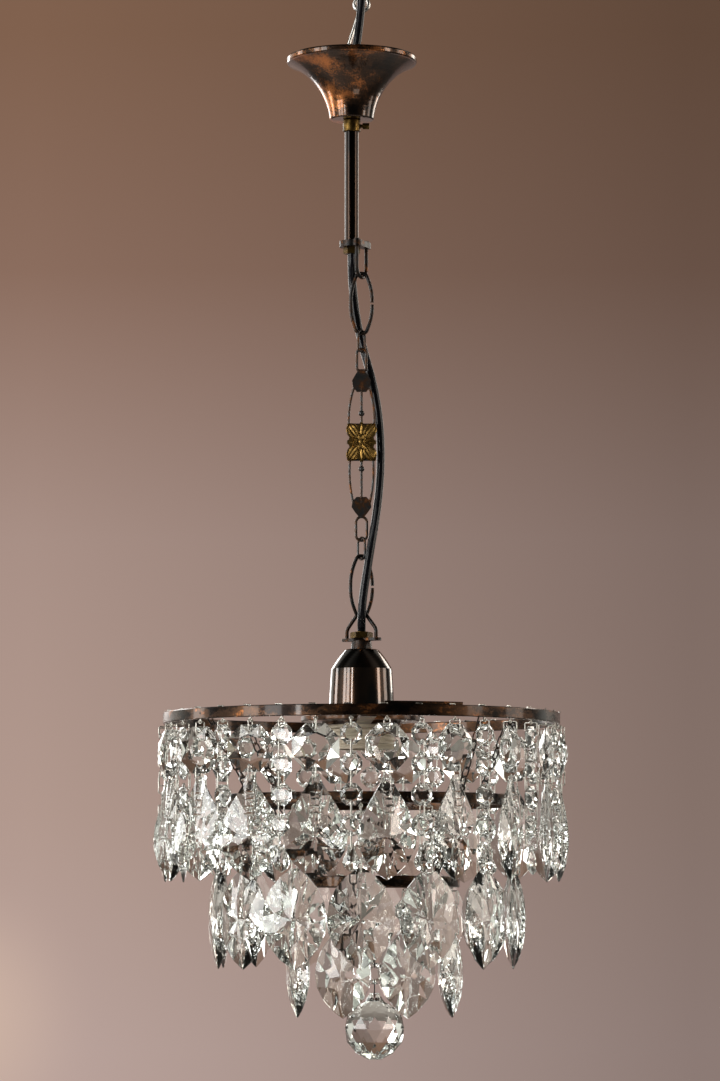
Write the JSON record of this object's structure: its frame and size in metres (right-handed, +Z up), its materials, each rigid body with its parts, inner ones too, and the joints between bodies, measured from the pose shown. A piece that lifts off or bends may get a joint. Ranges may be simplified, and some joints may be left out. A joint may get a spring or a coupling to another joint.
{
  "type": "crystal pendant chandelier",
  "caption": "Small crystal pendant chandelier: ceiling canopy, stem and link chain over a lampholder and hoops hung with strings of cut glass, ending in a faceted ball.",
  "frame": {"origin": "bearing point of the hanging wire's top eye, where the ceiling hook carries it", "axes": "+Z up, -Y the front"},
  "size_m": [0.2718, 0.2752, 0.7539],
  "materials": {
    "patinated_bronze": "worn dark bronze patina with copper showing through",
    "blackened_bronze": "blackened tube, satin",
    "blackened_steel": "blackened wire, satin",
    "dark_brass": "aged brass",
    "gilt_brass": "gilded brass",
    "antique_brass": "antique brass casting",
    "chain_bronze": "dark bronze chain",
    "nickel_wire": "nickel-plated wire",
    "bright_steel": "zinc-plated wire",
    "black_flex": "black sleeved flex",
    "terminal_plastic": "connector strip",
    "porcelain": "glazed porcelain",
    "crystal": "cut lead crystal"
  },
  "bodies": {
    "stem": {"stem_tube": "blackened_bronze", "top_fixings": "dark_brass", "top_bail": "blackened_steel", "hanging_wire": "bright_steel", "stem_foot": "blackened_steel", "upper_nut": "dark_brass", "upper_bail": "blackened_steel", "flex_stem": "black_flex", "flex_chain": "black_flex", "flex_tail": "black_flex", "terminal_block": "terminal_plastic"},
    "collar": {"canopy_collar": "dark_brass"},
    "thumbscrew": {"collar_thumbscrew": "dark_brass"},
    "canopy": {"ceiling_canopy": "patinated_bronze"},
    "upper_link": {"upper_link": "blackened_steel"},
    "upper_ring": {"upper_jump_ring": "gilt_brass"},
    "ornate_link": {"ornate_link": "antique_brass", "ornate_rosettes": "gilt_brass"},
    "lower_ring": {"lower_jump_ring": "gilt_brass"},
    "lower_link": {"lower_link": "blackened_steel"},
    "lamp": {"lower_bail": "blackened_steel", "lower_nut": "dark_brass", "lower_nipple": "dark_brass", "holder_cover": "patinated_bronze", "holder_body": "dark_brass", "holder_shell": "gilt_brass", "contact_block": "porcelain", "centre_contact": "gilt_brass", "gallery_disc": "patinated_bronze", "frame_bar": "patinated_bronze", "top_hoop": "patinated_bronze", "top_hoop_eyes": "blackened_steel", "flex_lower": "black_flex", "tier1_octagons": "crystal", "tier1_pendeloques": "crystal", "tier1_beads": "crystal", "tier1_drops": "crystal", "tier1_wires": "nickel_wire"},
    "middle_tier": {"middle_hoop": "patinated_bronze", "middle_hoop_eyes": "blackened_steel", "upper_drop_chains": "chain_bronze", "tier2_beads": "crystal", "tier2_ovals": "crystal", "tier2_wires": "nickel_wire"},
    "bottom_tier": {"bottom_hoop": "patinated_bronze", "bottom_hoop_eyes": "blackened_steel", "lower_drop_chains": "chain_bronze", "ball_bar": "patinated_bronze", "tier3_wires": "nickel_wire"},
    "ball": {"ball_chain": "chain_bronze", "ball_bead": "crystal", "crystal_ball": "crystal"},
    "tier3_string_1": {"tier3_string_1": "crystal"},
    "tier3_string_2": {"tier3_string_2": "crystal"},
    "tier3_string_3": {"tier3_string_3": "crystal"},
    "tier3_string_4": {"tier3_string_4": "crystal"},
    "tier3_string_5": {"tier3_string_5": "crystal"},
    "tier3_string_6": {"tier3_string_6": "crystal"},
    "tier3_string_7": {"tier3_string_7": "crystal"},
    "tier3_string_8": {"tier3_string_8": "crystal"}
  },
  "joints": [
    {"name": "collar_slide", "type": "slide", "parent": "stem", "child": "collar", "axis": [0, 0, -1], "range_m": [0, 0.065]},
    {"name": "canopy_turn", "type": "hinge", "parent": "collar", "child": "canopy", "pos_m": [-0.0065, 0, -0.0825], "axis": [0, 0, 1], "continuous": true},
    {"name": "thumbscrew_turn", "type": "hinge", "parent": "collar", "child": "thumbscrew", "pos_m": [-0.0065, 0, -0.08655], "axis": [1, 0, 0], "range_deg": [0, 180]},
    {"name": "upper_link_swing", "type": "hinge", "parent": "stem", "child": "upper_link", "pos_m": [0, 0, -0.18885], "axis": [0.4226, 0.9063, 0], "range_deg": [-15, 15], "deforming": ["flex_chain"]},
    {"name": "upper_ring_swing", "type": "hinge", "parent": "upper_link", "child": "upper_ring", "pos_m": [0, 0, -0.22675], "axis": [1, 0, 0], "range_deg": [-15, 15]},
    {"name": "ornate_link_swing", "type": "hinge", "parent": "upper_ring", "child": "ornate_link", "pos_m": [0, 0, -0.2389], "axis": [0.6157, 0.788, 0], "range_deg": [-15, 15]},
    {"name": "lower_ring_swing", "type": "hinge", "parent": "ornate_link", "child": "lower_ring", "pos_m": [0, 0, -0.36515], "axis": [1, 0, 0], "range_deg": [-15, 15]},
    {"name": "lower_link_swing", "type": "hinge", "parent": "lower_ring", "child": "lower_link", "pos_m": [0, 0, -0.3776], "axis": [0.6157, -0.788, 0], "range_deg": [-15, 15]},
    {"name": "lamp_swing", "type": "hinge", "parent": "lower_link", "child": "lamp", "pos_m": [0, 0, -0.41595], "axis": [0.9063, 0.4226, 0], "range_deg": [-15, 15]},
    {"name": "middle_tier_twist", "type": "hinge", "parent": "lamp", "child": "middle_tier", "pos_m": [0.0035, 0, -0.5375], "axis": [0, 0, 1], "range_deg": [-8, 8], "stiffness_Nm_per_rad": 1.9, "deforming": ["upper_drop_chains"]},
    {"name": "bottom_tier_twist", "type": "hinge", "parent": "middle_tier", "child": "bottom_tier", "pos_m": [0.0085, 0, -0.5905], "axis": [0, 0, 1], "range_deg": [-8, 8], "stiffness_Nm_per_rad": 0.4, "deforming": ["lower_drop_chains"]},
    {"name": "ball_swing", "type": "hinge", "parent": "bottom_tier", "child": "ball", "pos_m": [0.0085, 0, -0.5945], "axis": [1, 0, 0], "range_deg": [-12, 12]},
    {"name": "tier3_string_1_swing", "type": "hinge", "parent": "bottom_tier", "child": "tier3_string_1", "pos_m": [-0.01192, -0.05053, -0.5965], "axis": [-0.9272, 0.3746, 0], "range_deg": [-6, 25]},
    {"name": "tier3_string_2_swing", "type": "hinge", "parent": "bottom_tier", "child": "tier3_string_2", "pos_m": [0.02979, -0.05017, -0.5965], "axis": [-0.9205, -0.3907, 0], "range_deg": [-6, 25]},
    {"name": "tier3_string_3_swing", "type": "hinge", "parent": "bottom_tier", "child": "tier3_string_3", "pos_m": [0.05903, -0.02042, -0.5965], "axis": [-0.3746, -0.9272, 0], "range_deg": [-6, 25]},
    {"name": "tier3_string_4_swing", "type": "hinge", "parent": "bottom_tier", "child": "tier3_string_4", "pos_m": [0.05867, 0.0213, -0.5965], "axis": [0.3907, -0.9205, 0], "range_deg": [-6, 25]},
    {"name": "tier3_string_5_swing", "type": "hinge", "parent": "bottom_tier", "child": "tier3_string_5", "pos_m": [0.02892, 0.05053, -0.5965], "axis": [0.9272, -0.3746, 0], "range_deg": [-6, 25]},
    {"name": "tier3_string_6_swing", "type": "hinge", "parent": "bottom_tier", "child": "tier3_string_6", "pos_m": [-0.0128, 0.05017, -0.5965], "axis": [0.9205, 0.3907, 0], "range_deg": [-6, 25]},
    {"name": "tier3_string_7_swing", "type": "hinge", "parent": "bottom_tier", "child": "tier3_string_7", "pos_m": [-0.04203, 0.02042, -0.5965], "axis": [0.3746, 0.9272, 0], "range_deg": [-6, 25]},
    {"name": "tier3_string_8_swing", "type": "hinge", "parent": "bottom_tier", "child": "tier3_string_8", "pos_m": [-0.04167, -0.0213, -0.5965], "axis": [-0.3907, 0.9205, 0], "range_deg": [-6, 25]}
  ]
}
